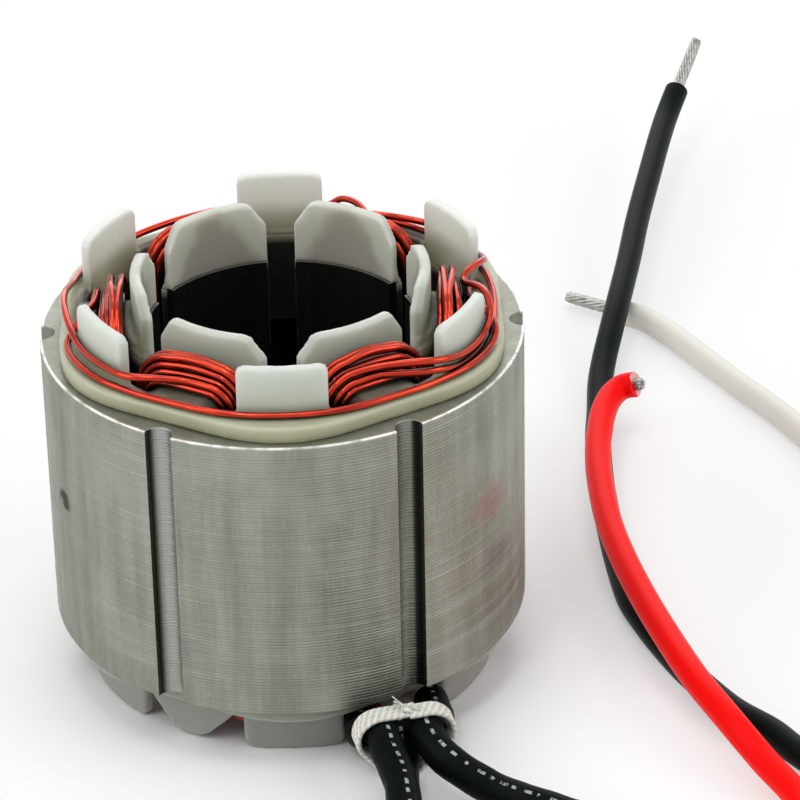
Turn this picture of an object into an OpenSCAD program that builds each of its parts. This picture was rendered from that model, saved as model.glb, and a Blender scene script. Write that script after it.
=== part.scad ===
// Wound stator of a small inner-rotor brushless motor.
// A laminated core with six teeth carries two moulded end insulators, six coils of
// enamelled wire, the wires that link them, and three sleeved leads.
// Units are millimetres. The axis is Z, and z = 0 is where the bottom tabs stand.
// Tooth 1 points to +X, and teeth are counted counter-clockwise from above.

/* [Core] */
// Outer diameter of the lamination stack
core_d = 50; // [48:0.5:56]
// Bore diameter round the rotor
bore_d = 28; // [27:0.25:29]
// Thickness of one lamination
lamination_t = 0.35; // [0.35:0.05:0.5]
// Number of laminations in the stack
lamination_count = 90; // [70:1:110]
// Radial thickness of the yoke behind the slots
yoke_t = 3.8; // [3.4:0.1:4]
// Width of a tooth
tooth_w = 6.8; // [6.2:0.1:7]
// Width of a slot's mouth at the bore
slot_mouth = 3; // [2.6:0.1:3.4]
// Radial thickness of a tooth shoe at its tip
shoe_tip_t = 0.9; // [0.8:0.05:1]
// Radius of the half-round grooves on the outside
groove_r = 1.5; // [1:0.1:1.8]

/* [Insulators] */
// Wall of the slot lining
liner_t = 0.6; // [0.5:0.05:0.7]
// Height of the flange on the yoke
flange_h = 1.7; // [1.4:0.1:1.9]
// Height of the rounded floor under each coil end
floor_h = 2; // [1.95:0.05:2.3]
// How far the flange lobes stop short of the core edge
lobe_inset = 0.8; // [0.6:0.1:1.2]
// How far the flange stops short of the core edge between the lobes
waist_inset = 2.5; // [2.3:0.1:2.6]
// How deep the top skirts reach into the slots
skirt_top = 10.5; // [6:0.5:11]
// How deep the bottom skirts reach into the slots
skirt_bottom = 10.5; // [6:0.5:11]
// Thickness of the outer tabs
outer_tab_t = 1.1; // [0.9:0.05:1.2]
// Height of the top outer tabs above the core
top_tab_h = 7; // [6:0.1:9]
// Width of the top outer tabs
top_tab_w = 9.1; // [8:0.1:10]
// Length of the bottom outer tabs below the core
foot_tab_h = 6.5; // [6.4:0.1:8]
// Width of the bottom outer tabs
foot_tab_w = 10.4; // [9.6:0.1:10.6]
// Thickness of the inner tabs
inner_tab_t = 1.2; // [1:0.05:1.3]
// Height of the top inner tabs above the core
inner_tab_h = 6.9; // [6:0.1:8]

/* [Windings] */
// Diameter of the enamelled wire
wire_d = 0.75; // [0.7:0.01:0.76]

/* [Leads] */
// Diameter of a lead over its insulation
lead_d = 3; // [2.6:0.1:3]
// Diameter of a lead's tinned conductor
conductor_d = 1.5; // [1.2:0.05:1.8]
// Length of the black lead's tinned end
tinned_black_l = 9.5; // [4:0.5:12]
// Length of the white lead's tinned end
tinned_white_l = 6.2; // [4:0.2:8]
// Length of the red lead's short trimmed end
tinned_red_l = 0.9; // [0.6:0.1:6]
// Wall of the sleeves over the leads
sleeve_wall = 0.22; // [0.18:0.01:0.24]
// Length of the lacing tie along the leads
tie_l = 2.4; // [1.5:0.1:2.6]
// Thickness of the lacing tie
tie_t = 0.45; // [0.3:0.05:0.45]

/* [Hidden] */
$fn = 96;
eps = 0.02;
tooth_count = 6;
pitch = 360 / tooth_count;
fit_gap = 0.05;

// Core
core_r = core_d / 2;
bore_r = bore_d / 2;
stack_h = lamination_t * lamination_count;
core_z0 = foot_tab_h;
core_z1 = core_z0 + stack_h;
slot_r = core_r - yoke_t;
shoe_rise = 0.9;
root_fillet = 1.2;
shoe_a = pitch / 2 - asin(slot_mouth / 2 / bore_r);

// Insulators
wall_inset = fit_gap + liner_t;
tab_ri = slot_r - wall_inset + 0.1;
tab_ro = tab_ri + outer_tab_t;
tab_corner = 0.9;
lobe_r = core_r - lobe_inset;
waist_r = core_r - waist_inset;
lobe_top_a = 5;
lobe_foot_a = 22;
liner_rise = 0.15;
shoe_floor_h = 1.2;
inner_tab_ri = bore_r + 0.25;
inner_tab_ro = inner_tab_ri + inner_tab_t;
inner_tab_a = 22.5;
inner_tab_top_a = 15;
inner_tab_drop = 2.6;
foot_inner_h = foot_tab_h - 0.4;
lug_h = 6.2;
lug_root_w = 10.2;
lug_end_w = 3.2;
lug_shoulder = 2.6;
lug_corner = 0.5;
exit_tooth = 5;

// Coils
bend_r = 1.7;
spool_y = tooth_w / 2 + wall_inset + fit_gap;
spool_z = stack_h / 2 + floor_h + fit_gap;
wire_pitch = 0.98 * wire_d;
layer_pitch = wire_pitch * sqrt(3) / 2;
wire_x0 = bore_r + shoe_tip_t + shoe_rise + 0.6;
tab_clearance = 0.9;
// Wires in each layer, counted from the tooth outwards: the first fills the room up to the tabs
layer_turns = floor((tab_ri - tab_clearance - wire_d / 2 - wire_x0) / wire_pitch) + 1;
layer_counts = [for (fewer = [0, 2, 2, 3]) max(1, layer_turns - fewer)];

// Crossover wires: height of a wire lying on the flange, and radius of one against the tabs
shelf_z = core_z1 + flange_h + wire_d / 2 + eps;
ring_r = tab_ro + wire_d / 2 + fit_gap;
// Place of a wire end nested on the outer side of a coil's second layer
nest_x = wire_x0 + (layer_counts[1] + 0.5) * wire_d + 0.05;
nest_h = floor_h + fit_gap + wire_d / 2 + layer_pitch + 0.08;
nest_z = core_z1 + nest_h;

// Leads
lead_r = lead_d / 2;
sleeve_ri = lead_r + fit_gap;
sleeve_ro = sleeve_ri + sleeve_wall;
cord_sides = 8;
cord_steps = 2;
crimp_r = 1.25;
crimp_hole_r = wire_d / 2 + 0.06;

// Routes of the leads, from the splice under the bottom flange to the tinned end.
// A lead that lies on the floor has its centre at z = 1.5.
route_red = [
    [14.2, -16.6, 2.1], [14.75, -21.4, 3], [13.7, -25.4, 5.15], [13.7, -28.6, 5.6], [15.6, -31.6, 4.7],
    [20.2, -33.6, 2.4], [25, -36.2, 1.95], [31, -40, 1.95], [37.5, -43.6, 1.75], [44, -45.2, 1.55],
    [49.4, -43, 1.6], [50.8, -37.4, 1.9], [47.5, -30.4, 2.8], [44.6, -25.2, 4.2], [41.8, -18.4, 4.7],
    [39.6, -10.6, 4.7], [37.7, -2.6, 4.6], [36.1, 5.5, 4.6], [35, 13.8, 4.6], [34.7, 22.4, 4.6],
    [34.9, 28.6, 4.6], [35.4, 32.8, 4.7], [36.1, 36.8, 4.9], [37.2, 39.9, 5.2], [38.6, 41.4, 5.6],
    [40.1, 40.9, 6.2]
];
route_black = [
    [10.8, -21.6, 2.4], [10.9, -26.6, 2.6], [10.8, -31.4, 2.05], [11.4, -36.6, 1.8], [14.6, -42, 1.82],
    [21, -46, 1.88], [28.5, -48.8, 1.75], [38, -50.6, 1.55], [48, -50.2, 1.5], [55.6, -46.4, 1.5],
    [58.4, -40.4, 1.5], [56.2, -34, 1.5], [51.6, -27.7, 1.5], [49.1, -23.6, 1.5], [45.8, -19.8, 1.5],
    [43.5, -16, 1.5], [41.3, -11.7, 1.5], [39.4, -7, 1.5], [37.9, -2.6, 1.5], [36.6, 2.2, 1.5],
    [35.9, 8.8, 1.5], [35.5, 15.5, 1.5], [35.3, 21.4, 1.5], [35.2, 27.5, 1.5], [35.5, 36.5, 1.5],
    [36.1, 42.7, 1.6], [36.6, 48.5, 2], [37.4, 53.2, 2.6], [38.4, 57.6, 3.4], [40, 64.6, 4.4],
    [41.9, 73.6, 5], [43.7, 83, 5.6], [45.8, 92.5, 6.3], [48, 102.1, 7.1], [49.5, 107.8, 7.8],
    [51.1, 112.1, 9.2]
];
route_white = [
    [7, -19.8, 2.1], [6.95, -23.2, 2.8], [7.8, -25.6, 4.8], [9, -28.2, 5.65], [9.6, -31.8, 5.75],
    [10.6, -36.2, 5.5], [11, -41, 5.2], [12.4, -46.4, 3.4], [16.8, -52, 1.9], [26, -56, 1.6],
    [38, -58, 1.5], [50, -57.2, 1.5], [60, -52, 1.5], [65.5, -42, 1.5], [67, -28, 1.5], [66.5, -8, 1.5],
    [65.5, 12, 1.5], [63.2, 27, 1.5], [58.9, 37.3, 1.5], [56.1, 42.8, 1.5], [53.1, 47.9, 1.5],
    [51.1, 51.6, 1.5], [49, 55.4, 1.5], [47, 59.2, 1.5], [44.9, 62.6, 1.5], [42.7, 65.3, 1.5],
    [39.4, 67.7, 1.5]
];
// Control points covered by each sleeve, and where the tie sits
sleeve_red_n = 7;
sleeve_black_n = 6;
sleeve_white_n = 7;
tie_at = [11.2, -27];
tie_a = 12;
tie_gap = 0.15;

// Vector helpers
function unit(v) = v / norm(v);
function polar(r, a) = [r * cos(a), r * sin(a)];
// A point from its bearing (0 is towards -Y, 90 towards +X), radius and height
function bearing(p) = [p[1] * sin(p[0]), -p[1] * cos(p[0]), p[2]];

// Smooth curve through control points
function clamp_at(p, i) = p[max(0, min(len(p) - 1, i))];
function spline_at(a, b, c, d, t) =
    0.5 * (2 * b + (c - a) * t + (2 * a - 5 * b + 4 * c - d) * t * t
    + (3 * b - a - 3 * c + d) * t * t * t);
function spline(p, steps) = concat(
    [for (i = [0:len(p) - 2]) for (j = [0:steps - 1])
        spline_at(clamp_at(p, i - 1), p[i], p[i + 1], clamp_at(p, i + 2), j / steps)],
    [p[len(p) - 1]]
);
function first(p, n) = [for (i = [0:n - 1]) p[i]];
function from(p, n) = [for (i = [n:len(p) - 1]) p[i]];

// Rings of points round a path, each square to it and level from side to side
function tangent(p, i) = unit(clamp_at(p, i + 1) - clamp_at(p, i - 1));
function ring(p, i, r, sides) =
    let (t = tangent(p, i), s = unit(cross(t, [0, 0, 1])), u = cross(s, t))
    [for (k = [0:sides - 1])
        let (a = (k + 0.5) * 360 / sides)
        p[i] + r * (cos(a) * s + sin(a) * u)];
function ring_faces(rings, sides, base) =
    [for (i = [0:rings - 2]) for (k = [0:sides - 1])
        let (a = base + i * sides, n = (k + 1) % sides)
        each [[a + k, a + n, a + sides + n], [a + k, a + sides + n, a + sides + k]]];

// A round rod along a path
module rod(path, r, sides) {
    count = len(path);
    points = [for (i = [0:count - 1]) each ring(path, i, r, sides)];
    start = [for (k = [sides - 1:-1:0]) k];
    end = [for (k = [0:sides - 1]) (count - 1) * sides + k];
    polyhedron(points, concat([start], ring_faces(count, sides, 0), [end]));
}

// A round tube along a path, open at both ends
module tube(path, ro, ri, sides) {
    count = len(path);
    base = count * sides;
    points = concat(
        [for (i = [0:count - 1]) each ring(path, i, ro, sides)],
        [for (i = [0:count - 1]) each ring(path, i, ri, sides)]
    );
    inner = [for (f = ring_faces(count, sides, base)) [f[2], f[1], f[0]]];
    start = [for (k = [0:sides - 1])
        let (n = (k + 1) % sides) [n, k, base + k, base + n]];
    o = (count - 1) * sides;
    end = [for (k = [0:sides - 1])
        let (n = (k + 1) % sides) [o + k, o + n, base + o + n, base + o + k]];
    polyhedron(points, concat(ring_faces(count, sides, 0), inner, start, end));
}

// Places its children so that +Z runs from one point towards another
module along(p, q) {
    d = unit(q - p);
    translate(p)
        rotate([0, acos(d[2]), atan2(d[1], d[0])])
            children();
}

module around(n = tooth_count, start = 0) {
    for (i = [0:n - 1])
        rotate(start + i * 360 / n)
            children();
}

// Section of a tooth along +X, grown by a margin on its slot sides
module tooth_section(grow) {
    side = tooth_w / 2 + grow;
    tip = polar(bore_r + shoe_tip_t, shoe_a);
    foot = [bore_r + shoe_tip_t + shoe_rise, tooth_w / 2];
    u = unit(foot - tip);
    tip_g = tip + grow * [-u[1], u[0]];
    foot_g = tip_g + u * (side - tip_g[1]) / u[1];
    polygon([[0, 0], [tip_g[0], -tip_g[1]], [foot_g[0], -foot_g[1]], foot_g, tip_g]);
    translate([bore_r, -side])
        square([slot_r - bore_r + 1, 2 * side]);
    for (m = [0, 1])
        mirror([0, m])
            tooth_root(side, grow);
}

// Fillet where a tooth meets the yoke
module tooth_root(side, grow) {
    y = tooth_w / 2 + root_fillet;
    centre = [sqrt(pow(slot_r - root_fillet, 2) - y * y), y];
    difference() {
        polygon([[centre[0], side - eps], [slot_r + 1, side - eps], (slot_r + 1) * unit(centre), centre]);
        translate(centre)
            circle(r = root_fillet - grow);
    }
}

// Section of the slot between tooth 1 and tooth 2, shrunk by an inset from the steel
module slot_section(inset) {
    difference() {
        intersection() {
            circle(r = slot_r - inset);
            polygon([[0, 0], [2 * slot_r, 0], 2 * polar(slot_r, pitch / 2) / cos(pitch / 2),
                2 * polar(slot_r, pitch)]);
        }
        tooth_section(inset);
        rotate(pitch)
            tooth_section(inset);
    }
}

// Steel core
module lamination_stack() {
    color("#a5a69f")
        translate([0, 0, core_z0])
            linear_extrude(stack_h)
                difference() {
                    circle(r = core_r);
                    circle(r = bore_r);
                    around()
                        slot_section(0);
                    around()
                        translate([core_r, 0])
                            circle(r = groove_r);
                }
}

// Outline of the flange: a round waist with a flat-sided lobe at each slot
module flange_outline() {
    circle(r = waist_r);
    around(start = pitch / 2)
        intersection() {
            circle(r = lobe_r);
            polygon([[0, 0], polar(waist_r, -lobe_foot_a), polar(lobe_r + 0.1, -lobe_top_a),
                [lobe_r + 1, 0], polar(lobe_r + 0.1, lobe_top_a), polar(waist_r, lobe_foot_a)]);
        }
}

// Lining of one slot, open towards the bore
module liner_section() {
    difference() {
        slot_section(fit_gap);
        slot_section(wall_inset);
        circle(r = bore_r + shoe_tip_t + fit_gap);
    }
}

// A plate outline with its top corners rounded, standing on y = 0
module tab_outline(w, h, corner) {
    translate([-w / 2, 0])
        square([w, h - corner]);
    translate([corner - w / 2, 0])
        square([w - 2 * corner, h]);
    for (s = [-1, 1])
        translate([s * (w / 2 - corner), h - corner])
            circle(r = corner);
}

// Cuts a ring wall to a flat outline seen along its radius, towards +X
module curved_tab(ri, ro, h) {
    intersection() {
        rotate([90, 0, 90])
            linear_extrude(ro + 1)
                children();
        difference() {
            cylinder(r = ro, h = h);
            translate([0, 0, -1])
                cylinder(r = ri, h = h + 2);
        }
    }
}

// Rounded floor that a coil bends over, along a tooth
module tooth_floor() {
    half = tooth_w / 2 + wall_inset;
    r = bend_r;
    translate([inner_tab_ri + 0.5, 0, 0])
        rotate([90, 0, 90])
            linear_extrude(slot_r - inner_tab_ri - 0.5) {
                translate([-half, 0])
                    square([2 * half, floor_h - r]);
                translate([r - half, 0])
                    square([2 * (half - r), floor_h]);
                intersection() {
                    translate([-half, 0])
                        square([2 * half, floor_h]);
                    for (s = [-1, 1])
                        translate([s * (half - r), floor_h - r])
                            circle(r = r);
                }
            }
}

// Wall on a tooth shoe that keeps the coil off the rotor, with sloped shoulders
module inner_tab(h) {
    base = inner_tab_ro * sin(inner_tab_a);
    top = inner_tab_ro * sin(inner_tab_top_a);
    shoulder = h - inner_tab_drop;
    curved_tab(inner_tab_ri, inner_tab_ro, h)
        polygon([[-base, 0], [base, 0], [base, shoulder], [top + 0.5, h - 0.3], [top - 0.3, h],
            [0.3 - top, h], [-top - 0.5, h - 0.3], [-base, shoulder]]);
}

// Lug between two bottom tabs
module foot_lug() {
    root = lug_root_w / 2;
    end = lug_end_w / 2;
    curved_tab(tab_ri, tab_ro, lug_h)
        polygon([[-root, 0], [root, 0], [root, lug_shoulder], [end + lug_corner, lug_h - lug_corner],
            [end - lug_corner, lug_h], [lug_corner - end, lug_h], [-end - lug_corner, lug_h - lug_corner],
            [-root, lug_shoulder]]);
}

// An end insulator, drawn with the core's face at z = 0 and its tabs upwards
module end_insulator(tab_w, tab_h, inner_h, skirt) {
    difference() {
        linear_extrude(flange_h)
            flange_outline();
        translate([0, 0, -1])
            cylinder(r = tab_ri, h = flange_h + 2);
    }
    around() {
        translate([0, 0, -skirt])
            linear_extrude(skirt + liner_rise)
                liner_section();
        tooth_floor();
        linear_extrude(shoe_floor_h)
            difference() {
                intersection() {
                    tooth_section(wall_inset / 2);
                    circle(r = bore_r + shoe_tip_t + shoe_rise + 1);
                }
                circle(r = inner_tab_ri);
            }
        inner_tab(inner_h);
    }
    around(start = pitch / 2)
        curved_tab(tab_ri, tab_ro, tab_h)
            tab_outline(tab_w, tab_h, tab_corner);
}

module top_insulator() {
    color("#e6e2d6")
        translate([0, 0, core_z1])
            end_insulator(top_tab_w, top_tab_h, inner_tab_h, skirt_top);
}

module bottom_insulator() {
    color("#dedacf")
        translate([0, 0, core_z0])
            mirror([0, 0, 1]) {
                end_insulator(foot_tab_w, foot_tab_h, foot_inner_h, skirt_bottom);
                for (i = [0:tooth_count - 1])
                    if (i != exit_tooth)
                        rotate(i * pitch)
                            foot_lug();
            }
}

// Centre of a turn in the coil's section: distance along the tooth, height above the spool
function turn(layer, i) =
    [wire_x0 + (i + (layer % 2) / 2) * wire_pitch, wire_d / 2 + layer * layer_pitch];

// Section of a coil: its turns, with the wires inside joined to one body
module coil_section() {
    layers = len(layer_counts);
    polygon(concat(
        [for (j = [0:layers - 1]) turn(j, layer_counts[j] - 1)],
        [for (j = [layers - 1:-1:0]) turn(j, 0)]
    ));
    for (j = [0:layers - 1])
        for (i = [0:layer_counts[j] - 1])
            translate(turn(j, i))
                circle(d = wire_d);
}

// A quarter of a coil: half a side, a bend and half an end turn
module coil_quarter() {
    y = spool_y - bend_r;
    z = spool_z - bend_r;
    linear_extrude(z)
        translate([0, spool_y])
            coil_section();
    translate([0, y, z])
        rotate([90, 0, 90])
            rotate_extrude(angle = 90)
                translate([bend_r, 0])
                    rotate(90)
                        mirror([0, 1])
                            coil_section();
    translate([0, y, spool_z])
        rotate([90, 0, 0])
            linear_extrude(y)
                coil_section();
}

// Coil round a tooth, tooth 1 at +X
module coil(tooth) {
    color("#b5462a")
        translate([0, 0, core_z0 + stack_h / 2])
            rotate((tooth - 1) * pitch)
                for (my = [0, 1])
                    for (mz = [0, 1])
                        mirror([0, my, 0])
                            mirror([0, 0, mz])
                                coil_quarter();
}

// Wires that link the coils, outside the top tabs.
// Each route is a list of bearing, radius and height.
out_r = ring_r + wire_d + 0.08;
upper_z = shelf_z + wire_d + 0.03;
// Radius on the way from a coil's nest, at 0, to the ring outside the tabs, at 1
function across(t) = nest_x + t * (ring_r - nest_x);

// From coil 1 at the right, past the front, to coil 4 at the left
route_crossover_1 = [
    [95, nest_x + 0.1, nest_z], [88, nest_x + 0.2, nest_z + 0.1], [82, across(0.43), nest_z + 0.2],
    [77, across(0.88), upper_z + 0.35], [71.5, out_r - 0.1, upper_z - 0.1], [65, out_r + 0.1, shelf_z],
    [54, out_r, shelf_z], [44, ring_r + 0.3, shelf_z], [30, ring_r - 0.2, shelf_z],
    [14, ring_r + 0.05, shelf_z], [0, ring_r + 0.05, shelf_z], [-14, ring_r + 0.05, shelf_z],
    [-30, ring_r - 0.2, shelf_z], [-44, ring_r + 0.3, shelf_z], [-54, out_r, shelf_z],
    [-64, out_r + 0.1, shelf_z], [-73, out_r - 0.2, shelf_z], [-79, across(0.815), shelf_z + 0.4],
    [-85, across(0.395), nest_z - 0.12], [-90, nest_x + 0.3, nest_z], [-96, nest_x + 0.1, nest_z]
];
// From coil 6 at the right front, round the right and the rear, to coil 3
route_crossover_2 = [
    [24, nest_x + 0.1, nest_z], [31, nest_x + 0.3, nest_z + 0.1], [38, across(0.59), nest_z + 0.1],
    [45, ring_r - 0.05, upper_z + 0.2], [54, ring_r + 0.02, shelf_z + 0.1], [66, ring_r + 0.02, shelf_z],
    [74, ring_r, shelf_z], [90, ring_r - 0.2, shelf_z], [106, ring_r, shelf_z],
    [120, ring_r + 0.05, shelf_z], [135, ring_r, shelf_z], [150, ring_r - 0.2, shelf_z],
    [165, ring_r + 0.02, shelf_z], [180, ring_r + 0.02, shelf_z], [193, ring_r + 0.02, shelf_z + 0.1],
    [201, across(0.685), nest_z + 0.1], [208, nest_x + 0.4, nest_z + 0.2], [215, nest_x + 0.1, nest_z]
];
// From coil 5 at the left front, round the left and the rear, to coil 2
route_crossover_3 = [
    [-24, nest_x + 0.1, nest_z], [-31, nest_x + 0.3, nest_z + 0.1], [-38, across(0.59), nest_z + 0.4],
    [-45, ring_r - 0.02, upper_z + 0.6], [-54, ring_r + 0.05, upper_z + 0.4],
    [-66, ring_r + 0.05, upper_z + 0.3], [-75, ring_r + 0.05, upper_z + 0.8],
    [-84, ring_r + 0.1, upper_z + 1.1], [-95, ring_r + 0.2, upper_z + 0.7],
    [-106, ring_r + 0.3, shelf_z + 0.4], [-116, out_r - 0.2, shelf_z], [-130, out_r - 0.1, shelf_z],
    [-150, ring_r + 0.2, shelf_z + 0.4], [-165, out_r, shelf_z + 0.1], [-180, out_r, shelf_z],
    [-192, out_r, shelf_z + 0.1], [-197, out_r - 0.2, upper_z + 0.4], [-203, across(0.718), nest_z + 0.6],
    [-209, nest_x + 0.5, nest_z + 0.3], [-216, nest_x + 0.1, nest_z]
];

module link_wire(route) {
    color("#b5462a")
        rod([for (p = spline(route, 3)) bearing(p)], wire_d / 2, 8);
}

module crossover_1() {
    link_wire(route_crossover_1);
}

module crossover_2() {
    link_wire(route_crossover_2);
}

module crossover_3() {
    link_wire(route_crossover_3);
}

// Star point links, from coil 6 to coil 1 and from coil 1 to coil 2, a wire above the crossovers
module star_link_1() {
    link_wire([
        [22, nest_x - 0.3, nest_z + layer_pitch + 0.15], [30, nest_x, nest_z + layer_pitch + 0.3],
        [38, across(0.525), nest_z + 1.2], [46, ring_r + 0.02, upper_z + 1.2],
        [56, ring_r + 0.05, upper_z + 0.3], [66, ring_r + 0.1, upper_z + 0.4],
        [73, across(1.01), nest_z + 1.26], [80, across(0.685), nest_z + 2.06],
        [86, across(0.265), nest_z + 1.76], [92, nest_x - 0.2, nest_z + layer_pitch + 0.2]
    ]);
}

module star_link_2() {
    link_wire([
        [93.6, nest_x - 0.2, nest_z + layer_pitch + 0.2], [98, across(0.17), nest_z + 1.26],
        [103, across(0.718), nest_z + 1.06], [108, ring_r + 0.1, upper_z + 0.6],
        [117, ring_r + 0.05, upper_z + 0.02], [126, ring_r + 0.1, upper_z + 0.05],
        [134, across(0.945), upper_z + 0.4], [141, across(0.555), nest_z + 0.5],
        [147, nest_x + 0.3, nest_z + layer_pitch + 0.3], [155, nest_x - 0.3, nest_z + layer_pitch + 0.15]
    ]);
}

// Coil tails under the bottom flange, inside the bottom tabs, from a coil to its splice
tail_r = tab_ri - wire_d / 2 - 0.1;
tail_z = core_z0 - floor_h - 2 * fit_gap - wire_d * 1.5;
tail_low_z = tail_z - wire_d - 0.05;
tail_nest_z = core_z0 - nest_h - 0.03;

module tail_wire(bearings, route) {
    lead_in = unit(route[1] - route[0]);
    points = [for (p = spline(bearings, 3)) bearing(p)];
    color("#b5462a")
        rod(concat(points, [route[0] - 0.5 * lead_in, route[0] + 2.2 * lead_in]), wire_d / 2, 8);
}

// From coil 5 at the left front to the white lead
module coil_tail_1() {
    tail_wire([[-36, nest_x + 0.1, tail_nest_z], [-29, nest_x + 0.1, tail_nest_z - 0.4],
        [-22, nest_x + 0.3, tail_low_z], [-14, tail_r - 0.1, tail_low_z], [-4, tail_r, tail_low_z],
        [8, tail_r, tail_low_z], [14, tail_r, tail_low_z - 0.1]], route_white);
}

// From coil 4 at the left to the black lead
module coil_tail_2() {
    tail_wire([[-96, nest_x + 0.1, tail_nest_z], [-88, nest_x + 0.3, tail_nest_z],
        [-80, tail_r - 0.1, tail_z], [-66, tail_r, tail_z], [-48, tail_r, tail_z], [-30, tail_r, tail_z],
        [-12, tail_r, tail_z], [4, tail_r, tail_z], [12, tail_r, tail_z + 0.5],
        [18, tab_ri + 0.15, tail_z + 0.95], [22.5, tab_ro + 0.15, tail_z + 0.95]], route_black);
}

// From coil 3 at the rear, round the right, to the red lead
module coil_tail_3() {
    tail_wire([[-144, nest_x + 0.1, tail_nest_z], [-152, nest_x + 0.3, tail_nest_z],
        [-160, tail_r - 0.1, tail_z], [-174, tail_r, tail_z], [-192, tail_r, tail_z],
        [-210, tail_r, tail_z], [-230, tail_r, tail_z], [-250, tail_r, tail_z], [-270, tail_r, tail_z],
        [-290, tail_r, tail_z], [-304, tail_r, tail_z], [-311, tail_r, tail_z - 0.3],
        [-316, tail_r + 0.1, tail_z - 0.8]], route_red);
}

// Crimp barrel on a lead's first stretch, drilled for the coil tail
module splice(route) {
    length = norm(route[1] - route[0]) - 1;
    color("#b8bcc0")
        along(route[0], route[1])
            difference() {
                cylinder(r = crimp_r, h = length, $fn = 48);
                translate([0, 0, -1])
                    cylinder(r = crimp_hole_r, h = 3.4, $fn = 24);
            }
}

module lead(route) {
    rod(from(spline(route, cord_steps), cord_steps), lead_r, cord_sides);
}

module sleeve(route, covered) {
    color("#17171a")
        tube(first(spline(route, cord_steps), covered * cord_steps), sleeve_ro, sleeve_ri, cord_sides);
}

module tinned_end(route, length) {
    end = route[len(route) - 1];
    path = spline(route, cord_steps);
    color("#b9bbbd")
        along(end, end + tangent(path, len(path) - 1))
            cylinder(d = conductor_d, h = length, $fn = 32);
}

module splice_black() {
    splice(route_black);
}

module splice_red() {
    splice(route_red);
}

module splice_white() {
    splice(route_white);
}

module lead_black() {
    color("#1b1b1d")
        lead(route_black);
}

module lead_red() {
    color("#c81f1c")
        lead(route_red);
}

module lead_white() {
    color("#e8e4d8")
        lead(route_white);
}

module sleeve_black() {
    sleeve(route_black, sleeve_black_n);
}

module sleeve_red() {
    sleeve(route_red, sleeve_red_n);
}

module sleeve_white() {
    sleeve(route_white, sleeve_white_n);
}

// Outline round the three sleeves where they are tied
module bundle_outline(r) {
    hull() {
        for (p = [[-2.62, 5.4, 0.3], [2.56, 5.28, 0.42], [-0.33, 2.62, 0.2]])
            translate([p[0], p[1]])
                circle(r = r + p[2], $fn = 32);
    }
}

// Lacing cord round the three sleeves, drawn as the band that its turns make
module lacing_tie() {
    color("#e9e6dc")
        translate([tie_at[0], tie_at[1], 0])
            rotate([90, 0, tie_a])
                translate([0, 0, -tie_l / 2])
                    linear_extrude(tie_l)
                        difference() {
                            bundle_outline(sleeve_ro + tie_gap + tie_t);
                            bundle_outline(sleeve_ro + tie_gap);
                        }
}

module tinned_end_black() {
    tinned_end(route_black, tinned_black_l);
}

module tinned_end_red() {
    tinned_end(route_red, tinned_red_l);
}

module tinned_end_white() {
    tinned_end(route_white, tinned_white_l);
}

lamination_stack();
top_insulator();
bottom_insulator();
coil(1);  // coil_1
coil(2);  // coil_2
coil(3);  // coil_3
coil(4);  // coil_4
coil(5);  // coil_5
coil(6);  // coil_6
crossover_1();
crossover_2();
crossover_3();
star_link_1();
star_link_2();
coil_tail_1();
coil_tail_2();
coil_tail_3();
splice_black();
splice_red();
splice_white();
lead_black();
lead_red();
lead_white();
sleeve_black();
sleeve_red();
sleeve_white();
lacing_tie();
tinned_end_black();
tinned_end_red();
tinned_end_white();
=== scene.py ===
"""Looks of the wound stator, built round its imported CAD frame.

Shapes are worked out in millimetres, with the values of part.scad, and made in metres.
"""

import random
from math import asin, atan2, cos, degrees, hypot, pi, radians, sin, sqrt, tau

import bmesh
import bpy
from mathutils import Matrix, Vector
from mathutils.geometry import tessellate_polygon


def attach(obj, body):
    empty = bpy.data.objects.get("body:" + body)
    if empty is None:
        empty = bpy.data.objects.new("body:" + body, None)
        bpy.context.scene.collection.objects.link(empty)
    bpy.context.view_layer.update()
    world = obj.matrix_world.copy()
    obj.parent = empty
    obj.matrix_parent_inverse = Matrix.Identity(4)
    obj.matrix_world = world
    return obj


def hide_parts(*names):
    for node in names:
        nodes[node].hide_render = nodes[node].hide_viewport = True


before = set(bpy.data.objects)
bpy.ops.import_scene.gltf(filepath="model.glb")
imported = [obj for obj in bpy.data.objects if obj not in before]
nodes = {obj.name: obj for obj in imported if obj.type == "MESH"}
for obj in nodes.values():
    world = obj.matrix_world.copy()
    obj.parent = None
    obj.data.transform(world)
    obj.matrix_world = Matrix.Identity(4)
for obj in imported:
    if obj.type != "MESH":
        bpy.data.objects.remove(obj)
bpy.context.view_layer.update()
MM = 0.001

# Sizes from part.scad, in millimetres and degrees
teeth, tooth_step = 6, 60
core_r, bore_r, lamination_t, lamination_count = 25.0, 14.0, 0.35, 90
core_z0 = 6.5
stack_h = lamination_t * lamination_count
core_z1 = core_z0 + stack_h
slot_r, tooth_w, slot_mouth = 21.2, 6.8, 3.0
shoe_tip_t, shoe_rise, root_fillet, groove_r = 0.9, 0.9, 1.2, 1.5
shoe_a = tooth_step / 2 - degrees(asin(slot_mouth / 2 / bore_r))
flange_h, floor_h, fit_gap = 1.7, 2.0, 0.05
flange_root, lobe_r, waist_r, lobe_top_a, lobe_foot_a = 21.95, 24.2, 22.5, 5.0, 22.0
wall_inset = 0.65
tab_ri = slot_r - wall_inset + 0.1
tab_ro = tab_ri + 1.1
wire_d = 0.75
wire_r = wire_d / 2
wire_pitch = 0.98 * wire_d
layer_pitch = wire_pitch * sqrt(3) / 2
wire_x0 = bore_r + shoe_tip_t + shoe_rise + 0.6
layer_counts = (5, 3, 3, 2)
bend_r = 1.7
spool_y = tooth_w / 2 + wall_inset + fit_gap
spool_z = stack_h / 2 + floor_h + fit_gap
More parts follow.
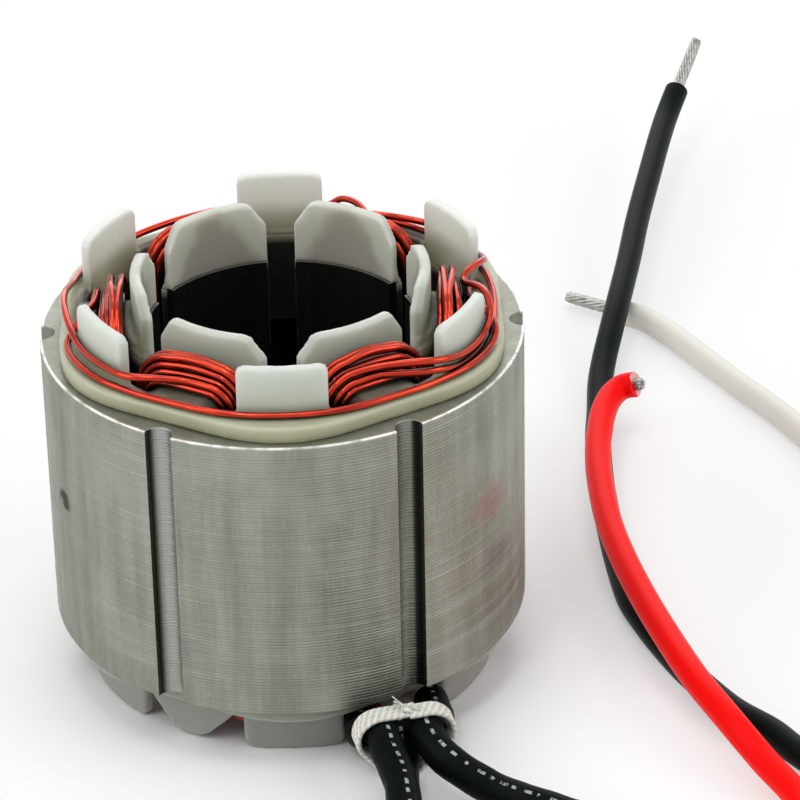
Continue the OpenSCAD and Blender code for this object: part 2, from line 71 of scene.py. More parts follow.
shelf_z = core_z1 + flange_h + wire_r + 0.02
ring_r = tab_ro + wire_r + fit_gap
nest_x = wire_x0 + (layer_counts[1] + 0.5) * wire_d + 0.05
nest_h = floor_h + fit_gap + wire_r + layer_pitch + 0.08
nest_z = core_z1 + nest_h
out_r = ring_r + wire_d + 0.08
upper_z = shelf_z + wire_d + 0.03
tail_r = tab_ri - wire_r - 0.1
tail_z = core_z0 - floor_h - 2 * fit_gap - wire_d * 1.5
tail_low_z = tail_z - wire_d - 0.05
tail_nest_z = core_z0 - nest_h - 0.03
lead_r, sleeve_ri, sleeve_ro = 1.5, 1.55, 1.77
tinned_r = 0.75
tinned_lengths = {"black": 9.5, "white": 6.2, "red": 0.9}
tie_at, tie_a, tie_l = (11.2, -27.0), 12.0, 2.4
ROUTE_STEPS = 8

# Sizes of the looks alone: the flange's eased outline, and how the mouldings are remeshed
eased_r, eased_wave = 23.45, 0.75
cut_depth, top_voxel, bottom_voxel, smooth_passes = 0.25, 0.215, 0.25, 2
LEAD_SIDES, CORD_SIDES, COIL_SIDES, LINK_SIDES = 28, 10, 10, 12

# Routes of the leads, as in part.scad
ROUTES = {
    "red": [
        (14.2, -16.6, 2.1), (14.75, -21.4, 3), (13.7, -25.4, 5.15), (13.7, -28.6, 5.6),
        (15.6, -31.6, 4.7), (20.2, -33.6, 2.4), (25, -36.2, 1.95), (31, -40, 1.95),
        (37.5, -43.6, 1.75), (44, -45.2, 1.55), (49.4, -43, 1.6), (50.8, -37.4, 1.9),
        (47.5, -30.4, 2.8), (44.6, -25.2, 4.2), (41.8, -18.4, 4.7), (39.6, -10.6, 4.7),
        (37.7, -2.6, 4.6), (36.1, 5.5, 4.6), (35, 13.8, 4.6), (34.7, 22.4, 4.6), (34.9, 28.6, 4.6),
        (35.4, 32.8, 4.7), (36.1, 36.8, 4.9), (37.2, 39.9, 5.2), (38.6, 41.4, 5.6),
        (40.1, 40.9, 6.2),
    ],
    "black": [
        (10.8, -21.6, 2.4), (10.9, -26.6, 2.6), (10.8, -31.4, 2.05), (11.4, -36.6, 1.8),
        (14.6, -42, 1.82), (21, -46, 1.88), (28.5, -48.8, 1.75), (38, -50.6, 1.55),
        (48, -50.2, 1.5), (55.6, -46.4, 1.5), (58.4, -40.4, 1.5), (56.2, -34, 1.5),
        (51.6, -27.7, 1.5), (49.1, -23.6, 1.5), (45.8, -19.8, 1.5), (43.5, -16, 1.5),
        (41.3, -11.7, 1.5), (39.4, -7, 1.5), (37.9, -2.6, 1.5), (36.6, 2.2, 1.5), (35.9, 8.8, 1.5),
        (35.5, 15.5, 1.5), (35.3, 21.4, 1.5), (35.2, 27.5, 1.5), (35.5, 36.5, 1.5),
        (36.1, 42.7, 1.6), (36.6, 48.5, 2), (37.4, 53.2, 2.6), (38.4, 57.6, 3.4), (40, 64.6, 4.4),
        (41.9, 73.6, 5), (43.7, 83, 5.6), (45.8, 92.5, 6.3), (48, 102.1, 7.1), (49.5, 107.8, 7.8),
        (51.1, 112.1, 9.2),
    ],
    "white": [
        (7, -19.8, 2.1), (6.95, -23.2, 2.8), (7.8, -25.6, 4.8), (9, -28.2, 5.65),
        (9.6, -31.8, 5.75), (10.6, -36.2, 5.5), (11, -41, 5.2), (12.4, -46.4, 3.4),
        (16.8, -52, 1.9), (26, -56, 1.6), (38, -58, 1.5), (50, -57.2, 1.5), (60, -52, 1.5),
        (65.5, -42, 1.5), (67, -28, 1.5), (66.5, -8, 1.5), (65.5, 12, 1.5), (63.2, 27, 1.5),
        (58.9, 37.3, 1.5), (56.1, 42.8, 1.5), (53.1, 47.9, 1.5), (51.1, 51.6, 1.5), (49, 55.4, 1.5),
        (47, 59.2, 1.5), (44.9, 62.6, 1.5), (42.7, 65.3, 1.5), (39.4, 67.7, 1.5),
    ],
}
# Control points that each sleeve covers
SLEEVED = {"red": 7, "black": 6, "white": 7}


def new_object(name, data):
    o = bpy.data.objects.new(name, data)
    bpy.context.scene.collection.objects.link(o)
    return o


# Camera, at the place that the photograph was taken from
def make_camera():
    data = bpy.data.cameras.new("photo_camera")
    data.sensor_width = 36
    data.lens = 188.52
    data.clip_start, data.clip_end = 0.02, 20
    cam = new_object("photo_camera", data)
    back = Vector((-0.01763, -0.86607, 0.49961))
    right = Vector((0.99979, -0.02036, 0))
    up = Vector((0.01017, 0.4995, 0.8663))
    roll = radians(-1.183)
    x = cos(roll) * right + sin(roll) * up
    y = cos(roll) * up - sin(roll) * right
    place = Matrix((x, y, back)).transposed().to_4x4()
    place.translation = Vector((4.298, -378.983, 247.292)) * MM
    cam.matrix_world = place
    bpy.context.scene.camera = cam


make_camera()


# Curves
def catmull(points, steps):
    """The smooth curve of part.scad through the points."""
    p = [Vector(q) for q in points]
    made = []
    for i in range(len(p) - 1):
        a, b, c, d = p[max(i - 1, 0)], p[i], p[i + 1], p[min(i + 2, len(p) - 1)]
        for j in range(steps):
            t = j / steps
            made.append(0.5 * (2 * b + (c - a) * t + (2 * a - 5 * b + 4 * c - d) * t * t
                               + (3 * b - a - 3 * c + d) * t * t * t))
    return made + [p[-1]]


def bearing(theta, r, z):
    """A point from its bearing (0 is towards -Y, 90 towards +X), radius and height."""
    a = radians(theta)
    return Vector((r * sin(a), -r * cos(a), z))


def resample(path, step):
    """The path again, with points about step apart."""
    along = [0.0]
    for a, b in zip(path, path[1:]):
        along.append(along[-1] + (b - a).length)
    count = max(2, round(along[-1] / step) + 1)
    made, j = [], 0
    for i in range(count):
        at = along[-1] * i / (count - 1)
        while j < len(path) - 2 and along[j + 1] < at:
            j += 1
        share = (at - along[j]) / max(along[j + 1] - along[j], 1e-9)
        made.append(path[j].lerp(path[j + 1], min(1.0, max(0.0, share))))
    return made


def frames(path):
    """A side and a cross direction at each point of a path, without twist."""
    n = len(path)
    tangents = [(path[min(i + 1, n - 1)] - path[max(i - 1, 0)]).normalized() for i in range(n)]
    start = Vector((0, 0, 1)) if abs(tangents[0].z) < 0.9 else Vector((1, 0, 0))
    side = (start - tangents[0] * start.dot(tangents[0])).normalized()
    made = []
    for i in range(n):
        if i:
            side = tangents[i - 1].rotation_difference(tangents[i]) @ side
            side = (side - tangents[i] * side.dot(tangents[i])).normalized()
        made.append((side, tangents[i].cross(side)))
    return made


class Build:
    """Collects faces in millimetres and makes one mesh object of them."""

    def __init__(self):
        self.verts, self.faces, self.uvs, self.slots = [], [], [], []

    def face(self, corners, uvs=None, slot=0):
        self.faces.append(corners)
        self.uvs.append(uvs or [(0.0, 0.0)] * len(corners))
        self.slots.append(slot)

    def tube(self, path, radius, sides, caps=True, slot=0, inward=False, rounded=0.0):
        """A round tube, whose ends are drawn in over the length rounded. Gives its first vertex."""
        path = [Vector(p) for p in path]
        radii = radius if isinstance(radius, list) else [radius] * len(path)
        if rounded:
            first, last = (path[1] - path[0]).normalized(), (path[-1] - path[-2]).normalized()
            bend = (0.45, 0.9, 1.35)
            head = [(path[0] - first * rounded * sin(a), cos(a)) for a in bend[::-1]]
            tail = [(path[-1] + last * rounded * sin(a), cos(a)) for a in bend]
            radii = [radii[0] * s for _, s in head] + radii + [radii[-1] * s for _, s in tail]
            path = [p for p, _ in head] + path + [p for p, _ in tail]
        base, along, n = len(self.verts), 0.0, len(path)
        lengths = []
        for i, (p, (s, c)) in enumerate(zip(path, frames(path))):
            if i:
                along += (p - path[i - 1]).length
            lengths.append(along)
            for k in range(sides):
                a = 2 * pi * k / sides
                self.verts.append(p + radii[i] * (cos(a) * s + sin(a) * c))
        for i in range(n - 1):
            for k in range(sides):
                a, b = base + i * sides + k, base + i * sides + (k + 1) % sides
                corners = [a, b, b + sides, a + sides]
                u, v = lengths[i], lengths[i + 1]
                uv = [(u, k / sides), (u, (k + 1) / sides), (v, (k + 1) / sides), (v, k / sides)]
                if inward:
                    corners, uv = corners[::-1], uv[::-1]
                self.face(corners, uv, slot)
        if caps:
            self.face([base + k for k in range(sides - 1, -1, -1)], None, slot)
            self.face([base + (n - 1) * sides + k for k in range(sides)], None, slot)
        return base

    def rim(self, outer, inner, sides, flip, slot=0):
        """Joins two rings of points at a tube's open end."""
        for k in range(sides):
            n = (k + 1) % sides
            corners = [outer + k, outer + n, inner + n, inner + k]
            self.face(corners[::-1] if flip else corners, None, slot)

    def object(self, name, materials, sharp):
        mesh = bpy.data.meshes.new(name)
        mesh.from_pydata([tuple(v * MM) for v in self.verts], [], self.faces)
        layer = mesh.uv_layers.new(name="along")
        flat = [x for uv in self.uvs for pair in uv for x in pair]
        layer.data.foreach_set("uv", flat)
        mesh.polygons.foreach_set("material_index", self.slots)
        mesh.polygons.foreach_set("use_smooth", [True] * len(self.faces))
        mesh.update()
        mesh.validate()
        mesh.set_sharp_from_angle(angle=radians(sharp))
        for m in materials:
            mesh.materials.append(m)
        return new_object(name, mesh)


# Materials
class Nodes:
    """The nodes of a new material or world, with short calls to make and join them."""

    def __init__(self, name, kept_in=bpy.data.materials, shader="Principled BSDF"):
        self.owner = kept_in.new(name)
        self.owner.use_nodes = True
        self.tree = self.owner.node_tree
        self.shader = self.tree.nodes[shader]

    def fill(self, sockets, values):
        """Sets each socket to a number, colour or vector, or links another socket to it."""
        for key, x in values.items():
            if isinstance(x, bpy.types.NodeSocket):
                self.tree.links.new(x, sockets[key])
            elif sockets[key].type == "RGBA":
                sockets[key].default_value = (*x, 1.0)
            else:
                sockets[key].default_value = x

    def add(self, kind, inputs={}, **settings):
        node = self.tree.nodes.new("ShaderNode" + kind)
        for key, value in settings.items():
            setattr(node, key, value)
        self.fill(node.inputs, inputs)
        return node

    def set(self, **values):
        self.fill(self.shader.inputs, {key.replace("_", " "): x for key, x in values.items()})

    def vector(self, operation, a, b=(0.0, 0.0, 0.0)):
        node = self.add("VectorMath", {0: a, 1: b}, operation=operation)
        return node.outputs["Value" if operation == "LENGTH" else "Vector"]

    def coords(self, scale, kind="Object"):
        """Object or UV coordinates times scale, a number or three."""
        at = self.add("TexCoord").outputs[kind]
        return self.vector("MULTIPLY", at, scale if isinstance(scale, tuple) else (scale,) * 3)

    def xyz(self, scale=1 / MM, kind="Object"):
        """The coordinates as sockets X, Y and Z, in millimetres where no scale is given."""
        return self.add("SeparateXYZ", {0: self.coords(scale, kind)}).outputs

    def noise(self, scale, detail=3.0, rough=0.55, kind="Object"):
        node = self.add("TexNoise", {"Scale": 1.0, "Detail": detail, "Roughness": rough,
                                               "Vector": self.coords(scale, kind)})
        return node.outputs["Fac"]

    def chance(self, number):
        """A fixed random value from 0 to 1 for each whole number."""
        whole = self.math("FLOOR", number)
        node = self.add("TexWhiteNoise", {"W": whole}, noise_dimensions="1D")
        return node.outputs["Value"]

    def ramp(self, value, stops, smooth=False):
        """A colour or grey from a value, by stops of position and colour."""
        node = self.add("ValToRGB", {"Fac": value})
        elements = node.color_ramp.elements
        node.color_ramp.interpolation = "EASE" if smooth else "LINEAR"
        while len(elements) < len(stops):
            elements.new(0.5)
        for e, (at, colour) in zip(elements, stops):
            e.position = at
            e.color = (*(colour if isinstance(colour, tuple) else (colour,) * 3), 1.0)
        return node.outputs["Color"]

    def math(self, operation, *values):
        return self.add("Math", dict(enumerate(values)), operation=operation).outputs[0]

    def times(self, a, b):
        return self.math("MULTIPLY", a, b)

    def between(self, share, low, high):
        node = self.add("MapRange", {"Value": share, "To Min": low, "To Max": high})
        return node.outputs[0]

    def over(self, tone, *layers):
        """A tone with colours laid over it one after the other, each by its share."""
        for share, colour in layers:
            node = self.add("Mix", {0: share, 6: tone, 7: colour}, data_type="RGBA")
            tone = node.outputs[2]
        return tone

    def finish(self, colour, rough, bump):
        """Sets colour, roughness (share, low, high) and bump (height, depth in mm, strength)."""
        height, depth, strength = bump
        node = self.add("Bump",
                        {"Height": height, "Distance": depth * MM, "Strength": strength})
        self.set(Base_Color=colour, Normal=node.outputs["Normal"],
                 Roughness=self.between(*rough) if isinstance(rough, tuple) else rough)
        return self.owner


def height_above(n, base, way):
    """Distance from a height in millimetres, upwards (way 1) or downwards (way -1)."""
    return n.times(n.math("SUBTRACT", n.xyz()["Z"], base), way)


def axis_distance(n, unit):
    """Distance from the stator's axis, in a unit given in millimetres."""
    return n.math("DIVIDE", n.vector("LENGTH", n.coords((1 / MM, 1 / MM, 0.0))), unit)


# Spots on the core: middle and half sizes in millimetres, raggedness, strength, colour
SPOTS = (
    ((-12.3, -21.8, 12.0), (1.2, 1.2, 4.5), 0.4, 0.35, (0.12, 0.11, 0.105)),
    # The next two spots are painted reflections of the leads, one bluish and one red.
    ((21.6, -12.6, 17.5), (3.4, 3.4, 2.4), 0.3, 0.45, (0.15, 0.155, 0.18)),
    ((21.0, -13.6, 24.2), (4.5, 4.5, 3.0), 0.3, 0.5, (0.34, 0.16, 0.14)),
)
# A near black spot on the core's left side.
BLACK_SPOT = ((-22.9, -10.1, 23.9), (1.9, 1.9, 1.5), 0.9, 0.95, (0.012, 0.012, 0.012))


def with_spot(n, tone, middle, size, ragged, strength, colour):
    """The tone with a ragged spot of another colour on it."""
    away = n.vector("DIVIDE", n.vector("SUBTRACT", n.coords(1 / MM), middle), size)
    wobble = n.math("MULTIPLY_ADD", n.noise(ragged / MM, 3.0, 0.6), 1.6, -0.8)
    d = n.math("ADD", n.vector("LENGTH", away), wobble)
    inside = n.ramp(d, [(0.35, 1.0), (1.0, 0.0)], True)
    return n.over(tone, (n.times(inside, strength), colour))


def groove_walls(n):
    """Shares of dark and of bright on the walls of the grooves, which are lit from one side."""
    span = radians(50)
    radius = axis_distance(n, core_r)
    deep = n.ramp(radius, [(0.945, 0.22), (0.975, 0.15), (0.993, 0.0)])
    at = n.xyz()
    from_front = n.math("ARCTAN2", at["X"], n.times(at["Y"], -1.0))
    turn = n.math("MULTIPLY_ADD", from_front, 0.5 / span, 0.5)
    wall = n.ramp(turn, [(0.163, 0.0), (0.1645, 0.97), (0.1685, 0.97), (0.176, 0.0),
                         (0.817, 0.0), (0.825, 0.97), (0.8355, 0.97), (0.837, 0.0)])
    lit = n.ramp(turn, [(0.173, 0.0), (0.182, 0.2), (0.203, 0.2), (0.222, 0.0)])
    within = n.times(n.math("LESS_THAN", radius, 0.9985),
                     n.math("GREATER_THAN", height_above(n, core_z1, -1.0), 0.04))
    return n.times(n.math("MAXIMUM", deep, wall), within), n.times(lit, within)


def bright_steel(n, offset, seam, streaks, fine, flecks):
    """Tone of the sheet edges outside: streaks, flecks, spots, painted reflections, painted shade
    and light in the grooves, and a painted highlight along the top rim.
    """
    clouds = n.noise(0.11 / MM, 3.0, 0.55)
    tone = n.ramp(streaks, [(0.28, (0.232, 0.241, 0.197)), (0.5, (0.295, 0.306, 0.257)),
                            (0.72, (0.365, 0.378, 0.33))])
    tone = n.over(
        tone,
        (n.times(n.chance(offset), 0.20), (0.21, 0.215, 0.185)),
        (n.times(seam, 0.28), (0.14, 0.145, 0.115)),
        (n.ramp(flecks, [(0.56, 0.0), (0.75, 0.45)]), (0.17, 0.17, 0.14)),
        (n.ramp(fine, [(0.55, 0.0), (0.8, 0.35)]), (0.50, 0.51, 0.47)),
        (n.ramp(clouds, [(0.45, 0.0), (0.75, 0.4)]), (0.44, 0.45, 0.405)),
    )
    # Spots, two of which are painted reflections of the leads.
    for spot in SPOTS:
        tone = with_spot(n, tone, *spot)
    dark_wall, lit_wall = groove_walls(n)
    # Painted highlight along the top outer edge, broken into patches by noise.
    rim = n.times(n.ramp(axis_distance(n, core_r), [(0.988, 0.0), (0.994, 1.0)]),
                  n.ramp(height_above(n, core_z1, -1.0), [(0.05, 1.0), (0.32, 0.0)]))
    wear_and_glint = n.ramp(n.noise(0.5 / MM, 3.0, 0.6), [(0.35, 0.25), (0.6, 1.0)])
    tone = n.over(tone, (dark_wall, (0.008, 0.009, 0.006)), (lit_wall, (0.93, 0.95, 0.97)),
                  (n.times(rim, wear_and_glint), (0.90, 0.90, 0.86)))
    return with_spot(n, tone, *BLACK_SPOT)


def steel_material(name, dark):
    """Stacked sheet edges with seams: bright outside, and near black in the bore as painted shade.
    """
    n = Nodes(name)
    offset = n.math("SUBTRACT", n.xyz(1 / MM / lamination_t)["Z"], core_z0 / lamination_t)
    edge = n.math("ABSOLUTE", n.math("SUBTRACT", n.math("FRACT", offset), 0.5))
    seam = n.ramp(edge, [(0.3, 0.0), (0.5, 1.0)], True)
    streaks = n.noise((0.5 / MM, 0.5 / MM, 0.05 / MM), 4.0, 0.55)
    fine = n.noise((6 / MM, 6 / MM, 0.5 / MM), 3.0, 0.6)
    flecks = n.noise((2.2 / MM, 2.2 / MM, 5.5 / MM), 3.0, 0.65)
    # In the bore the steel is painted near black, as shade.
    if dark:
        tone = n.ramp(streaks, [(0.3, (0.003, 0.005, 0.004)), (0.7, (0.008, 0.011, 0.009))])
        tone = n.over(tone, (n.times(seam, 0.5), (0.002, 0.003, 0.002)))
        n.set(Specular_IOR_Level=0.06)
    else:
        tone = bright_steel(n, offset, seam, streaks, fine, flecks)
        n.set(Metallic=1.0)
    height = n.math("ADD", n.times(seam, -0.6), n.times(fine, 0.35))
    return n.finish(tone, (flecks, 0.40, 0.58), (height, 0.02, 0.7))


def tooth_middle(n):
    """1 at the middle of each tooth and 0 at the middle of each slot, round the axis."""
    at = n.xyz()
    angle = n.times(n.math("ARCTAN2", at["Y"], at["X"]), teeth)
    return n.math("MULTIPLY_ADD", n.math("COSINE", angle), 0.5, 0.5)


def painted_coil_shade(n, radius, height):
    """Painted shade of the coil behind an inner tab, as if seen through it: a soft arch on the
    bore's side.
    """
    cloud = n.math("MULTIPLY_ADD", n.noise(0.5 / MM, 3.0, 0.6), 0.5, -0.25)
    arch = n.math("SUBTRACT", n.math("ADD", tooth_middle(n), cloud), n.times(height, 1.1))
    inner = n.ramp(radius, [(0.586, 1.0), (0.6, 0.0)])
    return n.times(inner, n.ramp(arch, [(0.05, 0.0), (0.45, 0.42)], True))


def nylon_painted_light(n, tone, wavy, radius, height):
    """Painted light on the top insulator: paler rear outer tabs and bore side, painted highlights
    along edges, and the painted shade of the coils behind the inner tabs.
    """
    rear = n.math("MULTIPLY_ADD", n.xyz()["Y"], 0.03, 0.4)
    outer = n.times(n.ramp(rear, [(0.3, 0.0), (0.75, 0.9)]),
                    n.ramp(radius, [(0.78, 0.0), (0.815, 1.0)]))
    inner = n.ramp(radius, [(0.586, 0.9), (0.6, 0.0)])
    bends = n.add("NewGeometry").outputs["Pointiness"]
    edges = n.times(n.ramp(bends, [(0.53, 0.0), (0.60, 0.45)]),
                    n.ramp(height, [(0.26, 0.0), (0.32, 1.0)]))
    return n.over(
        tone,
        (n.times(outer, n.ramp(wavy, [(0.22, 0.15), (0.42, 1.0)])), (0.94, 0.99, 0.86)),
        (inner, (0.78, 0.79, 0.69)),
        (painted_coil_shade(n, radius, height), (0.22, 0.15, 0.125)),
        (edges, (0.80, 0.83, 0.78)),
    )


def nylon_material(name, face, way):
    """Milky nylon with painted shade: olive and darker at its root, darker on the bore side, dark
    under the coils and in the slots; pale at its tips.
    """
    top, ramp_h = way > 0, 10.0
    n = Nodes(name)
    clouds = n.noise(0.16 / MM, 3.0, 0.55)
    grain = n.noise(5.0 / MM, 2.0, 0.5)
    height = n.math("DIVIDE", height_above(n, face, way), ramp_h)
    wavy = n.math("ADD", height, n.math("MULTIPLY_ADD", clouds, 0.24, -0.12))
    radius = axis_distance(n, core_r)
    # Painted shade: darker towards the bore.
    inside = n.ramp(radius, [(0.63, 0.55), (0.69, 0.0)])
    if top:
        # Painted shade: olive and darker at the root, paler towards the tips.
        tone = n.ramp(wavy, [(0.0, (0.49, 0.485, 0.30)), (0.17, (0.555, 0.56, 0.40)),
                             (0.34, (0.63, 0.67, 0.585)), (0.7, (0.73, 0.79, 0.71))])
        tone = n.over(tone, (inside, (0.50, 0.53, 0.455)))
        tone = nylon_painted_light(n, tone, wavy, radius, height)
    else:
        # The bottom insulator is painted darker all over, as in the shade under the core.
        tone = n.ramp(wavy, [(0.0, (0.30, 0.30, 0.25)), (0.3, (0.29, 0.29, 0.27)),
                             (0.65, (0.32, 0.32, 0.295))])
        tone = n.over(tone, (inside, (0.26, 0.26, 0.24)))
    # Painted shade: near black under the coils, beside the teeth, and in the slots below the core's
    # face.
    beside = n.times(n.ramp(radius, [(0.79, 0.0), (0.80, 0.97), (0.85, 0.97), (0.878, 0.0)]),
                     n.ramp(tooth_middle(n), [(0.3, 0.0), (0.5, 1.0)]))
    covered = n.ramp(radius, [(0.63, 0.0), (0.65, 1.0), (0.795, 1.0), (0.815, 0.0)])
    under = n.times(n.math("MAXIMUM", covered, beside), n.ramp(height, [(0.19, 0.92), (0.25, 0.0)]))
    in_slot = n.ramp(n.times(height, -4.0), [(0.1, 0.0), (0.5, 0.97)])
    tone = n.over(tone, (n.ramp(grain, [(0.5, 0.0), (0.8, 0.14)]), (0.70, 0.70, 0.66)),
                  (under, (0.030, 0.016, 0.010)), (in_slot, (0.010, 0.012, 0.010)))
    n.set(Subsurface_Weight=0.9, Subsurface_Radius=(0.92, 1.0, 0.90), Subsurface_Scale=0.0024,
          IOR=1.52, Transmission_Weight=0.22 if top else 0.0)
    return n.finish(tone, (clouds, 0.34, 0.50), (grain, 0.012, 0.5))


def enamel_material(name, deep, bright):
    """Red enamelled wire under a clear coat, with painted shade in the gaps between its turns."""
    gap_reach = 1.5
    n = Nodes(name)
    along = n.noise((0.22, 1.3, 1.0), 3.0, 0.55, "UV")
    drawn = n.noise((0.05, 9.0, 1.0), 2.0, 0.5, "UV")
    # Painted shade: darker where neighbouring turns are near.
    gaps = n.add("AmbientOcclusion", {"Distance": gap_reach * MM}, samples=8)
    shaded = n.ramp(gaps.outputs["AO"], [(0.46, 0.98), (0.88, 0.0)], True)
    tone = n.over(n.ramp(along, [(0.3, deep), (0.68, bright)]), (shaded, (0.007, 0.002, 0.001)))
    n.set(Metallic=0.9, Coat_Weight=0.35, Coat_Roughness=0.04, Coat_IOR=1.5, IOR=1.5)
    return n.finish(tone, (drawn, 0.10, 0.20), (drawn, 0.006, 0.4))


def plastic_material(name, low, high, rough, shine):
    n = Nodes(name)
    along = n.noise((0.06, 1.2, 1.0), 3.0, 0.55, "UV")
    grain = n.noise(2.6 / MM, 3.0, 0.6)
    n.set(IOR=1.48, Specular_IOR_Level=shine)
    tone = n.ramp(along, [(0.3, low), (0.7, high)])
    return n.finish(tone, (grain, *rough), (grain, 0.012, 0.6))


def sleeve_material(name):
    """Grained black sleeving with a plain row of pale dashes, rubbed off in places."""
    dash_pitch, dash_width = 1.5, 0.017
    n = Nodes(name)
    grain = n.noise(3.0 / MM, 3.0, 0.6)
    tone = n.ramp(grain, [(0.3, (0.002, 0.004, 0.003)), (0.7, (0.005, 0.008, 0.007))])
    uv = n.xyz(1.0, "UV")
    count = n.math("DIVIDE", uv["X"], dash_pitch)
    share = n.math("MULTIPLY_ADD", n.chance(count), 0.55, 0.15)
    dash = n.math("LESS_THAN", n.math("FRACT", count), share)
    off = n.math("SUBTRACT", 0.5, n.math("ABSOLUTE", n.math("SUBTRACT", uv["Y"], 0.5)))
    band = n.math("LESS_THAN", off, dash_width)
    wear_and_glint = n.ramp(n.noise(2.2 / MM, 3.0, 0.65), [(0.36, 0.0), (0.5, 0.8)])
    n.set(IOR=1.5, Specular_IOR_Level=0.04)
    tone = n.over(tone, (n.times(n.times(dash, band), wear_and_glint), (0.50, 0.54, 0.55)))
    return n.finish(tone, (grain, 0.34, 0.52), (grain, 0.02, 0.6))


def tinned_material(name):
    n = Nodes(name)
    flow = n.noise(1.4 / MM, 4.0, 0.6)
    n.set(Metallic=1.0)
    tone = n.ramp(flow, [(0.3, (0.22, 0.22, 0.205)), (0.7, (0.46, 0.46, 0.435))])
    return n.finish(tone, (flow, 0.26, 0.5), (flow, 0.05, 0.6))


def cord_material(name):
    twist_per_mm = 9.0
    n = Nodes(name)
    uv = n.xyz(1.0, "UV")
    turn = n.math("ADD", n.times(uv["X"], twist_per_mm), n.times(uv["Y"], tau))
    twist = n.math("SINE", turn)
    fibre = n.noise(9.0 / MM, 3.0, 0.7)
    tone = n.ramp(n.math("MULTIPLY_ADD", twist, 0.3, 0.5),
                  [(0.2, (0.62, 0.60, 0.53)), (0.8, (0.86, 0.85, 0.80))])
    tone = n.over(tone, (n.ramp(fibre, [(0.55, 0.0), (0.8, 0.4)]), (0.50, 0.48, 0.42)))
    n.set(Sheen_Weight=0.25, Subsurface_Weight=0.15, Subsurface_Scale=0.0006)
    height = n.math("ADD", n.times(twist, 0.5), n.times(fibre, 0.6))
    return n.finish(tone, 0.9, (height, 0.05, 0.7))


# Tones of the leads, with the insulation's roughness and shine
INSULATION = {
    "red": ((0.94, 0.003, 0.003), (1.0, 0.006, 0.004), (0.32, 0.44), 0.08),
    "black": ((0.003, 0.006, 0.005), (0.006, 0.011, 0.009), (0.28, 0.40), 0.05),
    "white": ((0.70, 0.69, 0.62), (0.80, 0.79, 0.73), (0.32, 0.46), 0.4),
}
CUT_FACES = {
    "red": ((0.86, 0.42, 0.40), (0.92, 0.56, 0.53)),
    "black": ((0.02, 0.022, 0.021), (0.03, 0.033, 0.032)),
    "white": ((0.72, 0.70, 0.64), (0.78, 0.77, 0.71)),
}
steel = steel_material("steel_laminations", dark=False)
bore_steel = steel_material("steel_bore", dark=True)
nylon = nylon_material("milky_nylon", core_z1, 1.0)
foot_nylon = nylon_material("shaded_nylon", core_z0, -1.0)
enamel = enamel_material("red_enamel", (0.30, 0.008, 0.002), (0.62, 0.040, 0.007))
lead_materials = {colour: plastic_material(colour + "_insulation", *look)
                  for colour, look in INSULATION.items()}
cut_materials = {colour: plastic_material(colour + "_cut_face", *tones, (0.5, 0.6), 0.3)
                 for colour, tones in CUT_FACES.items()}
sleeving = sleeve_material("black_sleeving")
tinned = tinned_material("tinned_copper")
lacing = cord_material("lacing_cord")


def place(o, slot, *replaced):
    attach(o, "root")
    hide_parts(*replaced)
    return o


# Leads, first the cords themselves
def lead_curve(colour):
    """The lead as a bevelled curve, from its splice to its tinned end."""
    path = catmull(ROUTES[colour], ROUTE_STEPS)[ROUTE_STEPS:]
    curve = bpy.data.curves.new(colour + "_lead", "CURVE")
    curve.dimensions = "3D"
    curve.bevel_depth = lead_r * MM
    curve.bevel_resolution = 7
    curve.use_fill_caps = True
    spline = curve.splines.new("POLY")
    spline.points.add(len(path) - 1)
    for point, p in zip(spline.points, path):
        point.co = (*(p * MM), 1.0)
    spline.use_smooth = True
    curve.materials.append(lead_materials[colour])
    length = sum((b - a).length for a, b in zip(path, path[1:]))
    return new_object(colour + "_lead", curve), path, length * MM


def sleeve_piece(colour):
    """The sleeve over a lead's first stretch, with its cut ends open."""
    stop = (2 * SLEEVED[colour] - 1) * ROUTE_STEPS // 2 + 1
    path = resample(catmull(ROUTES[colour], ROUTE_STEPS)[:stop], 0.5)
    b = Build()
    rng = random.Random("sleeve" + colour)
    radii = [sleeve_ro + 0.03 * sin(0.8 * i + rng.random()) for i in range(len(path))]
    outer = b.tube(path, radii, LEAD_SIDES, caps=False)
    inner = b.tube(path, sleeve_ri, LEAD_SIDES, caps=False, inward=True)
    last = (len(path) - 1) * LEAD_SIDES
    b.rim(outer, inner, LEAD_SIDES, False)
    b.rim(outer + last, inner + last, LEAD_SIDES, True)
    return b.object(colour + "_sleeve", [sleeving], 50)


